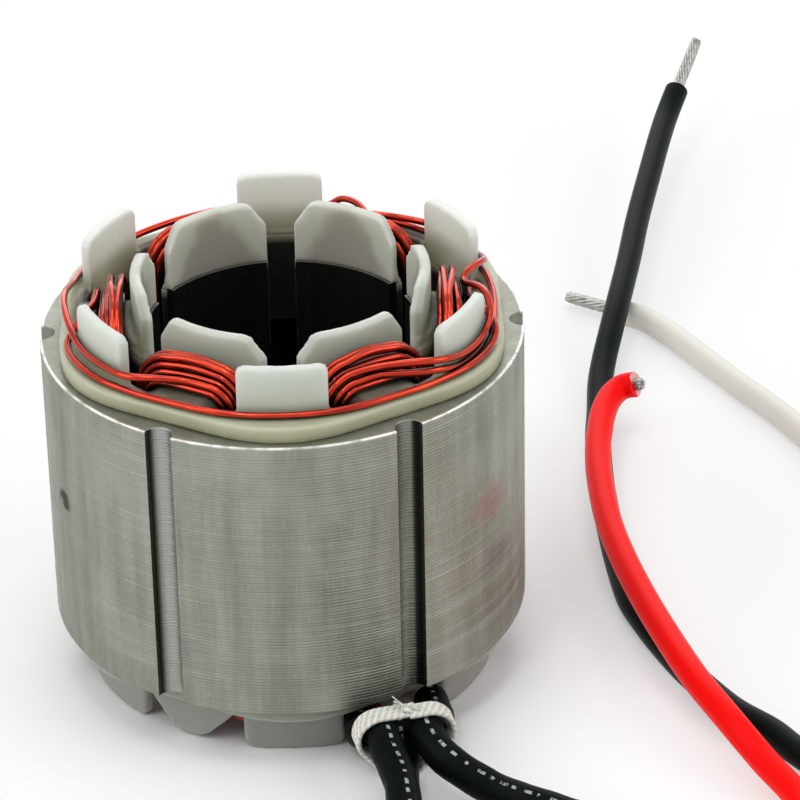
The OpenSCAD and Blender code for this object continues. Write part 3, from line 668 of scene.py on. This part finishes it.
def tinned_piece(colour):
    """Twisted and tinned strands beyond the cut insulation, and the pale ring of the cut itself."""
    path = catmull(ROUTES[colour], 2)
    end, way = path[-1], (path[-1] - path[-2]).normalized()
    side = way.cross(Vector((0, 0, 1))).normalized()
    up = side.cross(way)
    length = tinned_lengths[colour]
    b = Build()
    strands, strand_r, lay, spans = 8, 0.245, 9.0, 28
    inside, heart_r = 0.4, 0.5
    rng = random.Random("tin" + colour)
    for k in range(strands):
        points = []
        stop = length - 0.25 * rng.random()
        for i in range(spans + 1):
            s = -inside + (stop + inside) * i / spans
            a = 2 * pi * (k / strands + s / lay)
            r = (tinned_r - 0.25) * (1.0 - 0.16 * max(0.0, s / length - 0.75) / 0.25)
            points.append(end + way * s + r * (cos(a) * side + sin(a) * up))
        b.tube(points, strand_r, CORD_SIDES, rounded=0.2)
    heart = [end + way * s for s in (-inside, length / 2, length - 0.35)]
    b.tube(heart, heart_r, 14, rounded=0.3)
    cut = [end - way * 0.3, end + way * 0.03]
    outer = b.tube(cut, lead_r - 0.06, LEAD_SIDES, caps=False, slot=1)
    inner = b.tube(cut, tinned_r, LEAD_SIDES, caps=False, slot=1, inward=True)
    b.rim(outer + LEAD_SIDES, inner + LEAD_SIDES, LEAD_SIDES, False, 1)
    return b.object(colour + "_tinned_end", [tinned, cut_materials[colour]], 60)


lead_pieces = {}
for colour in ("red", "black", "white"):
    lead, path, length = lead_curve(colour)
    sleeve = sleeve_piece(colour)
    ends = tinned_piece(colour)
    place(lead, colour + "_insulation", "lead_" + colour)
    place(sleeve, "black_sleeving", "sleeve_" + colour)
    place(ends, "tinned_copper", "tinned_end_" + colour)
    lead_pieces[colour] = (lead, path, length, [sleeve, ends, nodes["splice_" + colour]])


def hull_outline(circles):
    """Points round the outside of several circles, given as centre and radius."""
    count, made = 160, []
    for i in range(count):
        a = 2 * pi * i / count
        n = Vector((cos(a), sin(a)))
        c, r = max(circles, key=lambda q: q[0].dot(n) + q[1])
        made.append(c + r * n)
    return made


def lacing_tie():
    """Turns of white lacing cord round the three sleeves, a knot and its frayed ends."""
    cord_r, fibre_r, turns, fibres, knot_spans = 0.27, 0.055, 5, 9, 48
    bundle = [((-2.62, 5.4), 0.3), ((2.56, 5.28), 0.42), ((-0.33, 2.62), 0.2)]
    circles = [(Vector(c), sleeve_ro + 0.02 + extra + cord_r) for c, extra in bundle]
    line = hull_outline(circles)
    closed = resample([p.to_3d() for p in line + [line[0]]], 0.35)[:-1]
    turn_to = Matrix.Rotation(radians(tie_a), 3, "Z")

    def out(p, along):
        q = turn_to @ Vector((p[0], -along, p[1]))
        return q + Vector((tie_at[0], tie_at[1], 0))

    rng = random.Random(11)
    mid = Vector((0.0, 4.4, 0))
    b = Build()
    pitch, points, n = tie_l / turns, [], len(closed)
    start = int(0.22 * n)
    for i in range(turns * n + 1):
        p = closed[(start + i) % n]
        along = -tie_l / 2 + pitch / 2 + pitch * min(turns - 1, max(0.0, i / n - 0.5))
        along += 0.05 * sin(i * 0.21) + 0.03 * sin(i * 0.77)
        lift = 1 + 0.006 * sin(i * 0.13)
        points.append(out(mid + (p - mid) * lift, along))
    b.tube(points, cord_r, CORD_SIDES, rounded=0.15)
    knot_at = closed[start]
    n_out = (knot_at - mid).normalized()
    n_side = Vector((-n_out.y, n_out.x, 0))
    loop = []
    for i in range(knot_spans + 1):
        a = 2 * pi * i / knot_spans
        q = knot_at + n_out * (0.30 + 0.22 * sin(2 * a)) + n_side * 0.62 * cos(a)
        loop.append(out(q, 0.55 * sin(a) + 0.1))
    b.tube(loop, cord_r, CORD_SIDES, rounded=0.1)
    for lean, length in ((0.9, 1.7), (-0.7, 1.3)):
        root = knot_at + n_out * 0.35
        for _ in range(fibres):
            bend = rng.uniform(-0.5, 0.5)
            spread = rng.uniform(-0.5, 0.5)
            fibre = []
            for i in range(7):
                s = length * i / 6 * rng.uniform(0.95, 1.05)
                q = root + n_side * (lean * s) + n_out * (0.3 * s + bend * s * s * 0.25)
                fibre.append(out(q, -0.4 * s * lean + spread * s * 0.7))
            b.tube(fibre, fibre_r, 5, rounded=0.03)
    return b.object("lacing_cord_tie", [lacing], 60)


tie = place(lacing_tie(), "lacing_cord", "lacing_tie")
for colour, (lead, path, length, on_it) in lead_pieces.items():
    nodes["splice_" + colour].data.materials.clear()
    nodes["splice_" + colour].data.materials.append(tinned)


# Core
def outward(contour):
    """Unit normals that point to the right of a closed contour's direction."""
    n, made = len(contour), []
    for i in range(n):
        d = contour[(i + 1) % n] - contour[i - 1]
        made.append(Vector((d.y, -d.x)).normalized())
    return made


def turned(p, angle):
    c, s = cos(radians(angle)), sin(radians(angle))
    return Vector((p[0] * c - p[1] * s, p[0] * s + p[1] * c))


def polar(r, angle):
    return turned((r, 0), angle)


def outer_contour():
    """The outside with its six half-round grooves, counter-clockwise."""
    gap = degrees(2 * asin(groove_r / 2 / core_r))
    rim_point = polar(core_r, gap) - Vector((core_r, 0))
    limit = degrees(atan2(rim_point.y, rim_point.x))
    made = []
    for turn in range(0, 360, tooth_step):
        for i in range(13):
            a = -limit - (360 - 2 * limit) * i / 12
            made.append(turned(Vector((core_r, 0)) + polar(groove_r, a), turn))
        for i in range(1, 20):
            made.append(polar(core_r, turn + gap + (tooth_step - 2 * gap) * i / 20))
    return made


def inner_contour():
    """The bore, the shoes, the teeth and the slots, clockwise."""
    y = tooth_w / 2 + root_fillet
    centre = Vector((sqrt((slot_r - root_fillet) ** 2 - y * y), y))
    away = degrees(atan2(centre.y, centre.x))
    half = [polar(bore_r, shoe_a * i / 6) for i in range(7)]
    half.append(polar(bore_r + shoe_tip_t, shoe_a))
    half.append(Vector((bore_r + shoe_tip_t + shoe_rise, tooth_w / 2)))
    for i in range(7):
        a = -90 + (90 + away) * i / 6
        half.append(centre + polar(root_fillet, a))
    slot_a = tooth_step / 2
    half += [polar(slot_r, away + (slot_a - away) * i / 4) for i in range(1, 4)]
    half.append(polar(slot_r, slot_a))
    made = []
    for turn in range(0, 360, tooth_step):
        there = [turned(p, turn) for p in half]
        back = [turned((p.x, -p.y), turn) for p in half]
        made += back[::-1][1:-1] + there
    return made[::-1]


def lamination_core():
    """The stack sheet by sheet: each has its own small offset and eased edges."""
    eased, end_ease, seam_ease = 0.06, -0.05, -0.022
    rng = random.Random(5)
    b = Build()
    outer, inner = outer_contour(), inner_contour()
    normals = outward(outer)
    n = len(outer)
    rings = []
    for sheet in range(lamination_count):
        z = core_z0 + lamination_t * sheet
        grow = rng.gauss(0, 0.006)
        shift = Vector((rng.gauss(0, 0.004), rng.gauss(0, 0.004)))
        if sheet == 0:
            rings.append((z, end_ease, shift))
        rings.append((z + eased, grow, shift))
        rings.append((z + lamination_t - eased, grow, shift))
        last = sheet == lamination_count - 1
        rings.append((z + lamination_t, end_ease if last else seam_ease, shift))
    for z, grow, shift in rings:
        for p, q in zip(outer, normals):
            b.verts.append((p + q * grow + shift).to_3d() + Vector((0, 0, z)))
    for i in range(len(rings) - 1):
        for k in range(n):
            m = (k + 1) % n
            b.face([i * n + k, i * n + m, (i + 1) * n + m, (i + 1) * n + k])
    base = len(b.verts)
    m = len(inner)
    for z in (core_z0, core_z1):
        b.verts += [p.to_3d() + Vector((0, 0, z)) for p in inner]
    for k in range(m):
        q = (k + 1) % m
        b.face([base + k, base + q, base + m + q, base + m + k], None, 1)
    loops = [[p.to_3d() for p in outer], [p.to_3d() for p in inner]]
    top = (len(rings) - 1) * n
    for a, c, d in tessellate_polygon(loops):
        flat = [loops[0][i] if i < n else loops[1][i - n] for i in (a, c, d)]
        up = (flat[1] - flat[0]).cross(flat[2] - flat[0]).z > 0
        order = (a, c, d) if up else (a, d, c)
        b.face([top + i if i < n else base + m + i - n for i in order])
        b.face([i if i < n else base + i - n for i in order[::-1]])
    return b.object("laminated_core", [steel, bore_steel], 50)


place(lamination_core(), "electrical_steel", "lamination_stack")


# Insulators: the moulding's visible half with its edges eased, and its thin skirts as they are
def cut_mesh(node, z, upper):
    """A closed copy of a CAD node's half above or below a height, in millimetres."""
    bm = bmesh.new()
    bm.from_mesh(nodes[node].data)
    bmesh.ops.scale(bm, vec=(1 / MM,) * 3, verts=bm.verts)
    bmesh.ops.remove_doubles(bm, verts=bm.verts, dist=0.0005)
    bmesh.ops.bisect_plane(
        bm, geom=bm.verts[:] + bm.edges[:] + bm.faces[:], dist=0.0001, plane_co=(0, 0, z),
        plane_no=(0, 0, 1 if upper else -1), clear_inner=True)
    bmesh.ops.holes_fill(bm, edges=[e for e in bm.edges if e.is_boundary], sides=0)
    bmesh.ops.triangulate(bm, faces=bm.faces[:])
    mesh = bpy.data.meshes.new(node + "_cut")
    bm.to_mesh(mesh)
    bm.free()
    return mesh


def rounded_flange(bm, face, way):
    """Eases the flange's straight-sided lobes into a smooth outline, as in the photo."""
    p, q = polar(lobe_r + 0.1, lobe_top_a), polar(waist_r, lobe_foot_a)
    for v in bm.verts:
        r = hypot(v.co.x, v.co.y)
        if r < flange_root or not -0.3 < (v.co.z - face) * way < flange_h + 0.15:
            continue
        d = abs((degrees(atan2(v.co.y, v.co.x)) % tooth_step) - tooth_step / 2)
        a = radians(d)
        side = (p.x * q.y - p.y * q.x) / (cos(a) * (q.y - p.y) - sin(a) * (q.x - p.x))
        old = min(lobe_r, side) if d < lobe_foot_a else waist_r
        new = eased_r + eased_wave * cos(teeth * a)
        grow = (flange_root + (r - flange_root) * (new - flange_root) / (old - flange_root)) / r
        v.co.x, v.co.y = v.co.x * grow, v.co.y * grow


def moulded(name, node, upper, voxel, material):
    """The part of an insulator beyond the core with moulded edges, joined with its slot skirts."""
    face, way = (core_z1, 1) if upper else (core_z0, -1)
    z = face - way * cut_depth
    source = new_object(name + "_source", cut_mesh(node, z, upper))
    remesh = source.modifiers.new("even", "REMESH")
    remesh.mode, remesh.voxel_size, remesh.adaptivity = "VOXEL", voxel, 0.0
    graph = bpy.context.evaluated_depsgraph_get()
    even = bpy.data.meshes.new_from_object(source.evaluated_get(graph))
    bpy.data.objects.remove(source)
    bm = bmesh.new()
    bm.from_mesh(even)
    for _ in range(smooth_passes):
        bmesh.ops.smooth_vert(bm, verts=bm.verts, factor=0.5,
                              use_axis_x=True, use_axis_y=True, use_axis_z=True)
    rounded_flange(bm, face, way)
    for f in bm.faces:
        f.smooth = True
    skirt = cut_mesh(node, z, not upper)
    skirt.polygons.foreach_set("use_smooth", [False] * len(skirt.polygons))
    bm.from_mesh(skirt)
    bmesh.ops.scale(bm, vec=(MM,) * 3, verts=bm.verts)
    mesh = bpy.data.meshes.new(name)
    bm.to_mesh(mesh)
    bm.free()
    bpy.data.meshes.remove(even)
    bpy.data.meshes.remove(skirt)
    mesh.materials.append(material)
    return new_object(name, mesh)


place(moulded("top_end_insulator", "top_insulator", True, top_voxel, nylon),
      "natural_nylon", "top_insulator")
place(moulded("bottom_end_insulator", "bottom_insulator", False, bottom_voxel, foot_nylon),
      "natural_nylon", "bottom_insulator")


# Windings
def spool_loop(x_from, h_from, x_to, h_to, wander):
    """One turn round tooth 1, from the bottom middle over the top to the next turn's start."""
    yc, zc = spool_y - bend_r, spool_z - bend_r
    mid = core_z0 + stack_h / 2
    r = bend_r + h_from
    bend = [radians(90 * i / 6) for i in range(7)]
    bend_lift = 0.4
    x_in, x_out, lift = wander
    made = []

    def add(y, z, x):
        made.append(Vector((x, y, mid + z)))

    def arc(side, up, x, angles):
        for a in angles:
            higher = lift * bend_lift * sin(a) if up > 0 else 0.0
            add(side * (yc + r * cos(a)), up * (zc + r * sin(a)) + higher, x)

    for i in range(4):
        add(yc * (i / 4), -(spool_z + h_from), x_from)
    arc(1, -1, x_from, bend[::-1])
    for i in range(1, 6):
        add(yc + r, -zc + 2 * zc * i / 6, x_from + x_in * i / 6)
    arc(1, 1, x_from + x_in, bend)
    for i in range(1, 8):
        s = i / 8
        bow = lift * (bend_lift + (1 - bend_lift) * sin(pi * s))
        add(yc - 2 * yc * s, spool_z + h_from + bow, x_from + x_in + (x_out - x_in) * s)
    arc(-1, 1, x_from + x_out, bend[::-1])
    for i in range(1, 6):
        add(-yc - r, zc - 2 * zc * i / 6, x_from + x_out * (1 - i / 6))
    arc(-1, -1, x_from, bend)
    for i in range(1, 4):
        s = i / 4
        h = h_from + (h_to - h_from) * s
        add(-yc * (1 - s), -(spool_z + h), x_from + (x_to - x_from) * s)
    return made


def coil_piece(number):
    """A coil of one continuous wire, wound in layers round its tooth."""
    rng = random.Random(40 + number)
    order = []
    for layer, count in enumerate(layer_counts):
        there = [(wire_x0 + (i + (layer % 2) / 2) * wire_pitch, wire_r + layer * layer_pitch)
                 for i in range(count)]
        order += there if layer % 2 == 0 else there[::-1]
    path = []
    for k, (x, h) in enumerate(order):
        x_next, h_next = order[k + 1] if k + 1 < len(order) else (x, h)
        layer = round((h - wire_r) / layer_pitch)
        loose, highest = 0.07 + 0.09 * layer, 0.16 + 0.17 * layer
        wander = (rng.uniform(-loose, loose), rng.uniform(-loose, loose), rng.uniform(0.0, highest))
        path += spool_loop(x, h, x_next, h_next, wander)
    turn_to = Matrix.Rotation(radians(tooth_step * (number - 1)), 3, "Z")
    b = Build()
    b.tube([turn_to @ p for p in path], wire_r, COIL_SIDES, rounded=0.1)
    return b.object(f"winding_{number}", [enamel], 70)


for number in range(1, teeth + 1):
    place(coil_piece(number), "enamelled_copper", f"coil_{number}")


def into_slot(point, z_way):
    """Points that carry a link wire's end from its coil round the bend and into the slot."""
    tooth = round(degrees(atan2(point.y, point.x)) / tooth_step) * tooth_step
    d = polar(1, tooth).to_3d()
    t = Vector((-d.y, d.x, 0))
    x, side = point.dot(d), 1 if point.dot(t) > 0 else -1
    base = core_z1 if z_way > 0 else core_z0
    h = (point.z - base) * z_way - floor_h - fit_gap
    yc, zc = spool_y - bend_r, floor_h + fit_gap - bend_r
    r = bend_r + h
    made = []
    for a in (75, 50, 25, 0):
        y = yc + r * cos(radians(a))
        z = zc + r * sin(radians(a))
        made.append(d * x + t * side * y + Vector((0, 0, base + z_way * z)))
    for down in (3, 7, 11):
        made.append(made[3] - Vector((0, 0, z_way * down)))
    return made


def across(t):
    """Radius on the way from a coil's nest, at 0, to the ring outside the tabs, at 1."""
    return nest_x + t * (ring_r - nest_x)


def ring(r, z, *bearings):
    """Route points at one radius and height."""
    return [(a, r, z) for a in bearings]


# Routes of the link wires and coil tails: bearing, radius and height, as in part.scad
LINKS = {
    "crossover_1": [
        (95, nest_x + 0.1, nest_z), (88, nest_x + 0.2, nest_z + 0.1),
        (82, across(0.43), nest_z + 0.2), (77, across(0.88), upper_z + 0.35),
        (71.5, out_r - 0.1, upper_z - 0.1), (65, out_r + 0.1, shelf_z), (54, out_r, shelf_z),
        (44, ring_r + 0.3, shelf_z), (30, ring_r - 0.2, shelf_z),
        *ring(ring_r + 0.05, shelf_z, 14, 0, -14), (-30, ring_r - 0.2, shelf_z),
        (-44, ring_r + 0.3, shelf_z), (-54, out_r, shelf_z), (-64, out_r + 0.1, shelf_z),
        (-73, out_r - 0.2, shelf_z), (-79, across(0.815), shelf_z + 0.4),
        (-85, across(0.395), nest_z - 0.12), (-90, nest_x + 0.3, nest_z),
        (-96, nest_x + 0.1, nest_z),
    ],
    "crossover_2": [
        (24, nest_x + 0.1, nest_z), (31, nest_x + 0.3, nest_z + 0.1),
        (38, across(0.59), nest_z + 0.1), (45, ring_r - 0.05, upper_z + 0.2),
        (54, ring_r + 0.02, shelf_z + 0.1), (66, ring_r + 0.02, shelf_z), (74, ring_r, shelf_z),
        (90, ring_r - 0.2, shelf_z), (106, ring_r, shelf_z), (120, ring_r + 0.05, shelf_z),
        (135, ring_r, shelf_z), (150, ring_r - 0.2, shelf_z),
        *ring(ring_r + 0.02, shelf_z, 165, 180), (193, ring_r + 0.02, shelf_z + 0.1),
        (201, across(0.685), nest_z + 0.1), (208, nest_x + 0.4, nest_z + 0.2),
        (215, nest_x + 0.1, nest_z),
    ],
    "crossover_3": [
        (-24, nest_x + 0.1, nest_z), (-31, nest_x + 0.3, nest_z + 0.1),
        (-38, across(0.59), nest_z + 0.4), (-45, ring_r - 0.02, upper_z + 0.6),
        (-54, ring_r + 0.05, upper_z + 0.4), (-66, ring_r + 0.05, upper_z + 0.3),
        (-75, ring_r + 0.05, upper_z + 0.8), (-84, ring_r + 0.1, upper_z + 1.1),
        (-95, ring_r + 0.2, upper_z + 0.7), (-106, ring_r + 0.3, shelf_z + 0.4),
        (-116, out_r - 0.2, shelf_z), (-130, out_r - 0.1, shelf_z),
        (-150, ring_r + 0.2, shelf_z + 0.4), (-165, out_r, shelf_z + 0.1), (-180, out_r, shelf_z),
        (-192, out_r, shelf_z + 0.1), (-197, out_r - 0.2, upper_z + 0.4),
        (-203, across(0.718), nest_z + 0.6), (-209, nest_x + 0.5, nest_z + 0.3),
        (-216, nest_x + 0.1, nest_z),
    ],
    "star_link": [
        (22, nest_x - 0.3, nest_z + layer_pitch + 0.15), (30, nest_x, nest_z + layer_pitch + 0.3),
        (38, across(0.525), nest_z + 1.2), (46, ring_r + 0.02, upper_z + 1.2),
        (56, ring_r + 0.05, upper_z + 0.3), (66, ring_r + 0.1, upper_z + 0.4),
        (73, across(1.01), nest_z + 1.26), (80, across(0.685), nest_z + 2.06),
        (86, across(0.265), nest_z + 1.76), (92.8, nest_x - 0.2, nest_z + layer_pitch + 0.25),
        (98, across(0.17), nest_z + 1.26), (103, across(0.718), nest_z + 1.06),
        (108, ring_r + 0.1, upper_z + 0.6), (117, ring_r + 0.05, upper_z + 0.02),
        (126, ring_r + 0.1, upper_z + 0.05), (134, across(0.945), upper_z + 0.4),
        (141, across(0.555), nest_z + 0.5), (147, nest_x + 0.3, nest_z + layer_pitch + 0.3),
        (155, nest_x - 0.3, nest_z + layer_pitch + 0.15),
    ],
}
TAILS = {
    "coil_tail_1": ("white", [
        (-36, nest_x + 0.1, tail_nest_z), (-29, nest_x + 0.1, tail_nest_z - 0.4),
        (-22, nest_x + 0.3, tail_low_z), (-14, tail_r - 0.1, tail_low_z),
        *ring(tail_r, tail_low_z, -4, 8), (14, tail_r, tail_low_z - 0.1)]),
    "coil_tail_2": ("black", [
        (-96, nest_x + 0.1, tail_nest_z), (-88, nest_x + 0.3, tail_nest_z),
        (-80, tail_r - 0.1, tail_z), *ring(tail_r, tail_z, -66, -48, -30, -12, 4),
        (12, tail_r, tail_z + 0.5), (18, tab_ri + 0.15, tail_z + 0.95),
        (22.5, tab_ro + 0.15, tail_z + 0.95)]),
    "coil_tail_3": ("red", [
        (-144, nest_x + 0.1, tail_nest_z), (-152, nest_x + 0.3, tail_nest_z),
        (-160, tail_r - 0.1, tail_z),
        *ring(tail_r, tail_z, -174, -192, -210, -230, -250, -270, -290, -304),
        (-311, tail_r, tail_z - 0.3), (-316, tail_r + 0.1, tail_z - 0.8)]),
}


def wire_piece(name, path):
    b = Build()
    b.tube(resample(path, 0.45), wire_r, LINK_SIDES, rounded=0.1)
    return b.object(name, [enamel], 70)


def polar_path(route):
    """The smooth curve of part.scad, worked out in bearing, radius and height."""
    return [bearing(*p) for p in catmull(route, ROUTE_STEPS)]


def slot_end(point, z_way):
    """The smooth end of a link wire, from its coil into the slot, and its reverse."""
    end = into_slot(point, z_way)
    return catmull(end, 4), catmull(end[::-1], 4)


for name, route in LINKS.items():
    line = polar_path(route)
    whole = slot_end(line[0], 1)[1] + line[3:-3] + slot_end(line[-1], 1)[0]
    stands_for = ["star_link_1", "star_link_2"] if name == "star_link" else [name]
    place(wire_piece(name + "_wire", whole), "enamelled_copper", *stands_for)
for name, (colour, route) in TAILS.items():
    line = polar_path(route)
    a, b = (Vector(p) for p in ROUTES[colour][:2])
    way = (b - a).normalized()
    whole = slot_end(line[0], -1)[1][:-1] + line[3:] + [a - 0.5 * way, a + 2.2 * way]
    place(wire_piece(name + "_wire", whole), "enamelled_copper", name)


# Stage and light: strengths of the world as light and where it is seen, and the floor's near white
world_light, world_seen, floor_white = 0.42, 0.95, 0.956
LAMPS = (
    ("left", (-0.75, -0.30, 0.55), 0.6, 2.8),
    ("right", (0.80, -0.20, 0.55), 0.6, 2.5),
    ("key", (-0.22, -0.40, 0.80), 0.14, 0.75),
    ("top", (-0.05, 0.00, 0.95), 0.6, 2.3),
    ("back", (0.05, 0.85, 0.50), 0.7, 2.4),
)


def seen_share(n):
    """1 for what the camera sees, itself or in metal and nylon, and 0 for light."""
    ray = n.add("LightPath").outputs
    either = n.math("MAXIMUM", ray["Is Camera Ray"], ray["Is Glossy Ray"])
    return n.math("MAXIMUM", either, ray["Is Transmission Ray"])


def floor_material():
    """A pale floor that keeps a faint shadow: half of what is seen of it is plain near white."""
    n = Nodes("pale_floor")
    tone = n.ramp(n.noise(20.0, 2.0), [(0.3, (0.955, 0.957, 0.957)), (0.7, (0.965, 0.966, 0.966))])
    n.set(Base_Color=tone, Roughness=0.9, Specular_IOR_Level=0.1)
    plain = n.add("Emission", {"Color": (floor_white,) * 3})
    clear = n.ramp(axis_distance(n, 100.0), [(0.24, 0.0), (0.42, 0.5)])
    both = n.add("MixShader", {0: n.times(seen_share(n), clear),
                                         1: n.shader.outputs["BSDF"], 2: plain.outputs["Emission"]})
    n.fill(n.tree.nodes["Material Output"].inputs, {"Surface": both.outputs["Shader"]})
    return n.owner


def studio_world():
    """Soft light from all round, near white where it is seen, also in metal and nylon."""
    n = Nodes("studio", bpy.data.worlds, "Background")
    n.set(Color=(1.0, 1.0, 1.0), Strength=n.between(seen_share(n), world_light, world_seen))
    return n.owner


def make_stage():
    floor_drop, aim = 0.00003, Vector((0, 0, 0.02))
    bpy.ops.mesh.primitive_plane_add(size=6, location=(0, 0, -floor_drop))
    floor = bpy.context.object
    floor.name = "stage_floor"
    floor.data.materials.append(floor_material())
    bpy.context.scene.world = studio_world()
    for name, at, size, power in LAMPS:
        data = bpy.data.lights.new(name, "AREA")
        data.shape, data.size, data.energy = "SQUARE", size, power
        lamp = new_object(name, data)
        lamp.location = at
        lamp.rotation_mode = "QUATERNION"
        lamp.rotation_quaternion = (Vector(at) - aim).to_track_quat("Z", "Y")


make_stage()
bpy.context.scene.view_settings.view_transform = "Standard"
